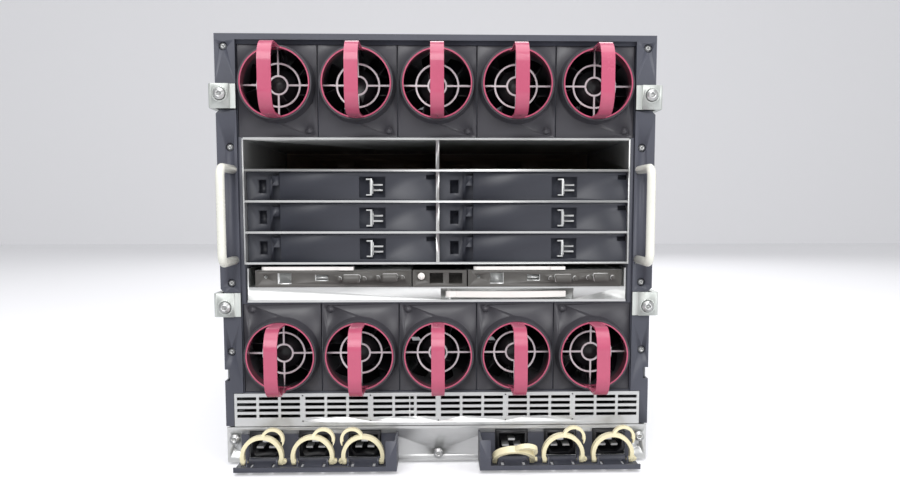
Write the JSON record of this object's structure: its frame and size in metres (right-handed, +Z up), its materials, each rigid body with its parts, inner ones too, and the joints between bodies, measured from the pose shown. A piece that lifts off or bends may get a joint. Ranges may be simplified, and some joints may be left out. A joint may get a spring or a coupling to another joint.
{
  "type": "blade server chassis",
  "caption": "Blade server chassis for a rack, with fan modules, interconnect bays with filler panels, management modules, mains inlets with cable clamps and open blade zones at the front",
  "frame": {"origin": "middle of the underside, half way across and half way between the rear face and the front bezel", "axes": "+Z up, -Y out of the rear face that carries the fans and the inlets, +Y out of the open blade zones, X across"},
  "size_m": [0.4594, 0.8756, 0.442],
  "materials": {
    "painted_steel": "satin",
    "shell_steel": "satin",
    "bright_steel": "satin",
    "cast_alloy": "satin",
    "dark_plastic": "satin",
    "rose_plastic": "gloss",
    "white_plastic": "satin",
    "cream_nylon": "satin",
    "black_plastic": "satin",
    "handle_paint": "satin",
    "module_paint": "satin",
    "circuit_board": "satin"
  },
  "bodies": {
    "chassis": {"enclosure_shell": "shell_steel", "rear_cage": "painted_steel", "bay_shelves": "bright_steel", "midplane": "circuit_board", "trim_columns": "painted_steel", "lift_handles": "handle_paint", "cage_blocks": "cast_alloy", "captive_screws": "bright_steel", "vent_grille": "bright_steel", "ac_module": "bright_steel", "ac_inlets": "black_plastic", "inlet_pins": "bright_steel", "cable_brackets": "black_plastic", "bay_blanks": "dark_plastic", "blank_latches": "bright_steel", "power_supplies": "shell_steel"},
    "sleeve": {"management_sleeve": "bright_steel", "link_module": "module_paint"},
    "sleeve_lever": {"sleeve_lever": "white_plastic"},
    "link_button": {"link_button": "black_plastic"},
    "management_module_1": {"management_module_1": "module_paint"},
    "module_lever_1": {"module_lever_1": "white_plastic"},
    "management_module_2": {"management_module_2": "module_paint"},
    "module_lever_2": {"module_lever_2": "white_plastic"},
    "cable_clamp_1": {"cable_clamp_1": "cream_nylon"},
    "cable_clamp_2": {"cable_clamp_2": "cream_nylon"},
    "cable_clamp_3": {"cable_clamp_3": "cream_nylon"},
    "cable_clamp_4": {"cable_clamp_4": "cream_nylon"},
    "cable_clamp_5": {"cable_clamp_5": "cream_nylon"},
    "cable_clamp_6": {"cable_clamp_6": "cream_nylon"},
    "fan_1": {"fan_housing_1": "dark_plastic"},
    "fan_1_handle": {"fan_handle_1": "rose_plastic"},
    "fan_1_rotor": {"fan_rotor_1": "black_plastic"},
    "fan_2": {"fan_housing_2": "dark_plastic"},
    "fan_2_handle": {"fan_handle_2": "rose_plastic"},
    "fan_2_rotor": {"fan_rotor_2": "black_plastic"},
    "fan_3": {"fan_housing_3": "dark_plastic"},
    "fan_3_handle": {"fan_handle_3": "rose_plastic"},
    "fan_3_rotor": {"fan_rotor_3": "black_plastic"},
    "fan_4": {"fan_housing_4": "dark_plastic"},
    "fan_4_handle": {"fan_handle_4": "rose_plastic"},
    "fan_4_rotor": {"fan_rotor_4": "black_plastic"},
    "fan_5": {"fan_housing_5": "dark_plastic"},
    "fan_5_handle": {"fan_handle_5": "rose_plastic"},
    "fan_5_rotor": {"fan_rotor_5": "black_plastic"},
    "fan_6": {"fan_housing_6": "dark_plastic"},
    "fan_6_handle": {"fan_handle_6": "rose_plastic"},
    "fan_6_rotor": {"fan_rotor_6": "black_plastic"},
    "fan_7": {"fan_housing_7": "dark_plastic"},
    "fan_7_handle": {"fan_handle_7": "rose_plastic"},
    "fan_7_rotor": {"fan_rotor_7": "black_plastic"},
    "fan_8": {"fan_housing_8": "dark_plastic"},
    "fan_8_handle": {"fan_handle_8": "rose_plastic"},
    "fan_8_rotor": {"fan_rotor_8": "black_plastic"},
    "fan_9": {"fan_housing_9": "dark_plastic"},
    "fan_9_handle": {"fan_handle_9": "rose_plastic"},
    "fan_9_rotor": {"fan_rotor_9": "black_plastic"},
    "fan_10": {"fan_housing_10": "dark_plastic"},
    "fan_10_handle": {"fan_handle_10": "rose_plastic"},
    "fan_10_rotor": {"fan_rotor_10": "black_plastic"}
  },
  "joints": [
    {"name": "sleeve_slide", "type": "slide", "parent": "chassis", "child": "sleeve", "axis": [0, -1, 0], "range_m": [0, 0.15]},
    {"name": "sleeve_lever_swing", "type": "hinge", "parent": "sleeve", "child": "sleeve_lever", "pos_m": [0.012, -0.4001, 0.1785], "axis": [0, 0, -1], "range_deg": [0, 55]},
    {"name": "link_button_press", "type": "slide", "parent": "sleeve", "child": "link_button", "axis": [0, 1, 0], "range_m": [0, 0.001], "stiffness_N_per_m": 400},
    {"name": "module_1_slide", "type": "slide", "parent": "sleeve", "child": "management_module_1", "axis": [0, -1, 0], "range_m": [0, 0.15]},
    {"name": "module_lever_1_swing", "type": "hinge", "parent": "management_module_1", "child": "module_lever_1", "pos_m": [-0.178, -0.401, 0.2035], "axis": [0, 0, -1], "range_deg": [0, 60]},
    {"name": "module_2_slide", "type": "slide", "parent": "sleeve", "child": "management_module_2", "axis": [0, -1, 0], "range_m": [0, 0.15]},
    {"name": "module_lever_2_swing", "type": "hinge", "parent": "management_module_2", "child": "module_lever_2", "pos_m": [0.0413, -0.401, 0.2035], "axis": [0, 0, -1], "range_deg": [0, 60]},
    {"name": "cable_clamp_1_tip", "type": "hinge", "parent": "chassis", "child": "cable_clamp_1", "pos_m": [-0.18, -0.4295, 0.0088], "axis": [1, 0, 0], "range_deg": [0, 60]},
    {"name": "cable_clamp_2_tip", "type": "hinge", "parent": "chassis", "child": "cable_clamp_2", "pos_m": [-0.1286, -0.4295, 0.0088], "axis": [1, 0, 0], "range_deg": [0, 60]},
    {"name": "cable_clamp_3_tip", "type": "hinge", "parent": "chassis", "child": "cable_clamp_3", "pos_m": [-0.0772, -0.4295, 0.0088], "axis": [1, 0, 0], "range_deg": [0, 60]},
    {"name": "cable_clamp_4_tip", "type": "hinge", "parent": "chassis", "child": "cable_clamp_4", "pos_m": [0.0772, -0.4295, 0.0088], "axis": [1, 0, 0], "range_deg": [-50, 10]},
    {"name": "cable_clamp_5_tip", "type": "hinge", "parent": "chassis", "child": "cable_clamp_5", "pos_m": [0.1286, -0.4295, 0.0088], "axis": [1, 0, 0], "range_deg": [0, 60]},
    {"name": "cable_clamp_6_tip", "type": "hinge", "parent": "chassis", "child": "cable_clamp_6", "pos_m": [0.18, -0.4295, 0.0088], "axis": [1, 0, 0], "range_deg": [0, 60]},
    {"name": "fan_1_slide", "type": "slide", "parent": "chassis", "child": "fan_1", "axis": [0, -1, 0], "range_m": [0, 0.15]},
    {"name": "fan_1_handle_turn", "type": "hinge", "parent": "fan_1", "child": "fan_1_handle", "pos_m": [-0.1616, -0.4065, 0.3921], "axis": [0, -1, 0], "range_deg": [0, 30]},
    {"name": "fan_1_rotor_spin", "type": "hinge", "parent": "fan_1", "child": "fan_1_rotor", "pos_m": [-0.1616, -0.4065, 0.3921], "axis": [0, -1, 0], "continuous": true},
    {"name": "fan_2_slide", "type": "slide", "parent": "chassis", "child": "fan_2", "axis": [0, -1, 0], "range_m": [0, 0.15]},
    {"name": "fan_2_handle_turn", "type": "hinge", "parent": "fan_2", "child": "fan_2_handle", "pos_m": [-0.0808, -0.4065, 0.3921], "axis": [0, -1, 0], "range_deg": [0, 30]},
    {"name": "fan_2_rotor_spin", "type": "hinge", "parent": "fan_2", "child": "fan_2_rotor", "pos_m": [-0.0808, -0.4065, 0.3921], "axis": [0, -1, 0], "continuous": true},
    {"name": "fan_3_slide", "type": "slide", "parent": "chassis", "child": "fan_3", "axis": [0, -1, 0], "range_m": [0, 0.15]},
    {"name": "fan_3_handle_turn", "type": "hinge", "parent": "fan_3", "child": "fan_3_handle", "pos_m": [0, -0.4065, 0.3921], "axis": [0, -1, 0], "range_deg": [0, 30]},
    {"name": "fan_3_rotor_spin", "type": "hinge", "parent": "fan_3", "child": "fan_3_rotor", "pos_m": [0, -0.4065, 0.3921], "axis": [0, -1, 0], "continuous": true},
    {"name": "fan_4_slide", "type": "slide", "parent": "chassis", "child": "fan_4", "axis": [0, -1, 0], "range_m": [0, 0.15]},
    {"name": "fan_4_handle_turn", "type": "hinge", "parent": "fan_4", "child": "fan_4_handle", "pos_m": [0.0808, -0.4065, 0.3921], "axis": [0, -1, 0], "range_deg": [0, 30]},
    {"name": "fan_4_rotor_spin", "type": "hinge", "parent": "fan_4", "child": "fan_4_rotor", "pos_m": [0.0808, -0.4065, 0.3921], "axis": [0, -1, 0], "continuous": true},
    {"name": "fan_5_slide", "type": "slide", "parent": "chassis", "child": "fan_5", "axis": [0, -1, 0], "range_m": [0, 0.15]},
    {"name": "fan_5_handle_turn", "type": "hinge", "parent": "fan_5", "child": "fan_5_handle", "pos_m": [0.1616, -0.4065, 0.3921], "axis": [0, -1, 0], "range_deg": [0, 30]},
    {"name": "fan_5_rotor_spin", "type": "hinge", "parent": "fan_5", "child": "fan_5_rotor", "pos_m": [0.1616, -0.4065, 0.3921], "axis": [0, -1, 0], "continuous": true},
    {"name": "fan_6_slide", "type": "slide", "parent": "chassis", "child": "fan_6", "axis": [0, -1, 0], "range_m": [0, 0.15]},
    {"name": "fan_6_handle_turn", "type": "hinge", "parent": "fan_6", "child": "fan_6_handle", "pos_m": [-0.1616, -0.4065, 0.1161], "axis": [0, -1, 0], "range_deg": [0, 30]},
    {"name": "fan_6_rotor_spin", "type": "hinge", "parent": "fan_6", "child": "fan_6_rotor", "pos_m": [-0.1616, -0.4065, 0.1161], "axis": [0, -1, 0], "continuous": true},
    {"name": "fan_7_slide", "type": "slide", "parent": "chassis", "child": "fan_7", "axis": [0, -1, 0], "range_m": [0, 0.15]},
    {"name": "fan_7_handle_turn", "type": "hinge", "parent": "fan_7", "child": "fan_7_handle", "pos_m": [-0.0808, -0.4065, 0.1161], "axis": [0, -1, 0], "range_deg": [0, 30]},
    {"name": "fan_7_rotor_spin", "type": "hinge", "parent": "fan_7", "child": "fan_7_rotor", "pos_m": [-0.0808, -0.4065, 0.1161], "axis": [0, -1, 0], "continuous": true},
    {"name": "fan_8_slide", "type": "slide", "parent": "chassis", "child": "fan_8", "axis": [0, -1, 0], "range_m": [0, 0.15]},
    {"name": "fan_8_handle_turn", "type": "hinge", "parent": "fan_8", "child": "fan_8_handle", "pos_m": [0, -0.4065, 0.1161], "axis": [0, -1, 0], "range_deg": [0, 30]},
    {"name": "fan_8_rotor_spin", "type": "hinge", "parent": "fan_8", "child": "fan_8_rotor", "pos_m": [0, -0.4065, 0.1161], "axis": [0, -1, 0], "continuous": true},
    {"name": "fan_9_slide", "type": "slide", "parent": "chassis", "child": "fan_9", "axis": [0, -1, 0], "range_m": [0, 0.15]},
    {"name": "fan_9_handle_turn", "type": "hinge", "parent": "fan_9", "child": "fan_9_handle", "pos_m": [0.0808, -0.4065, 0.1161], "axis": [0, -1, 0], "range_deg": [0, 30]},
    {"name": "fan_9_rotor_spin", "type": "hinge", "parent": "fan_9", "child": "fan_9_rotor", "pos_m": [0.0808, -0.4065, 0.1161], "axis": [0, -1, 0], "continuous": true},
    {"name": "fan_10_slide", "type": "slide", "parent": "chassis", "child": "fan_10", "axis": [0, -1, 0], "range_m": [0, 0.15]},
    {"name": "fan_10_handle_turn", "type": "hinge", "parent": "fan_10", "child": "fan_10_handle", "pos_m": [0.1616, -0.4065, 0.1161], "axis": [0, -1, 0], "range_deg": [0, 30]},
    {"name": "fan_10_rotor_spin", "type": "hinge", "parent": "fan_10", "child": "fan_10_rotor", "pos_m": [0.1616, -0.4065, 0.1161], "axis": [0, -1, 0], "continuous": true}
  ]
}
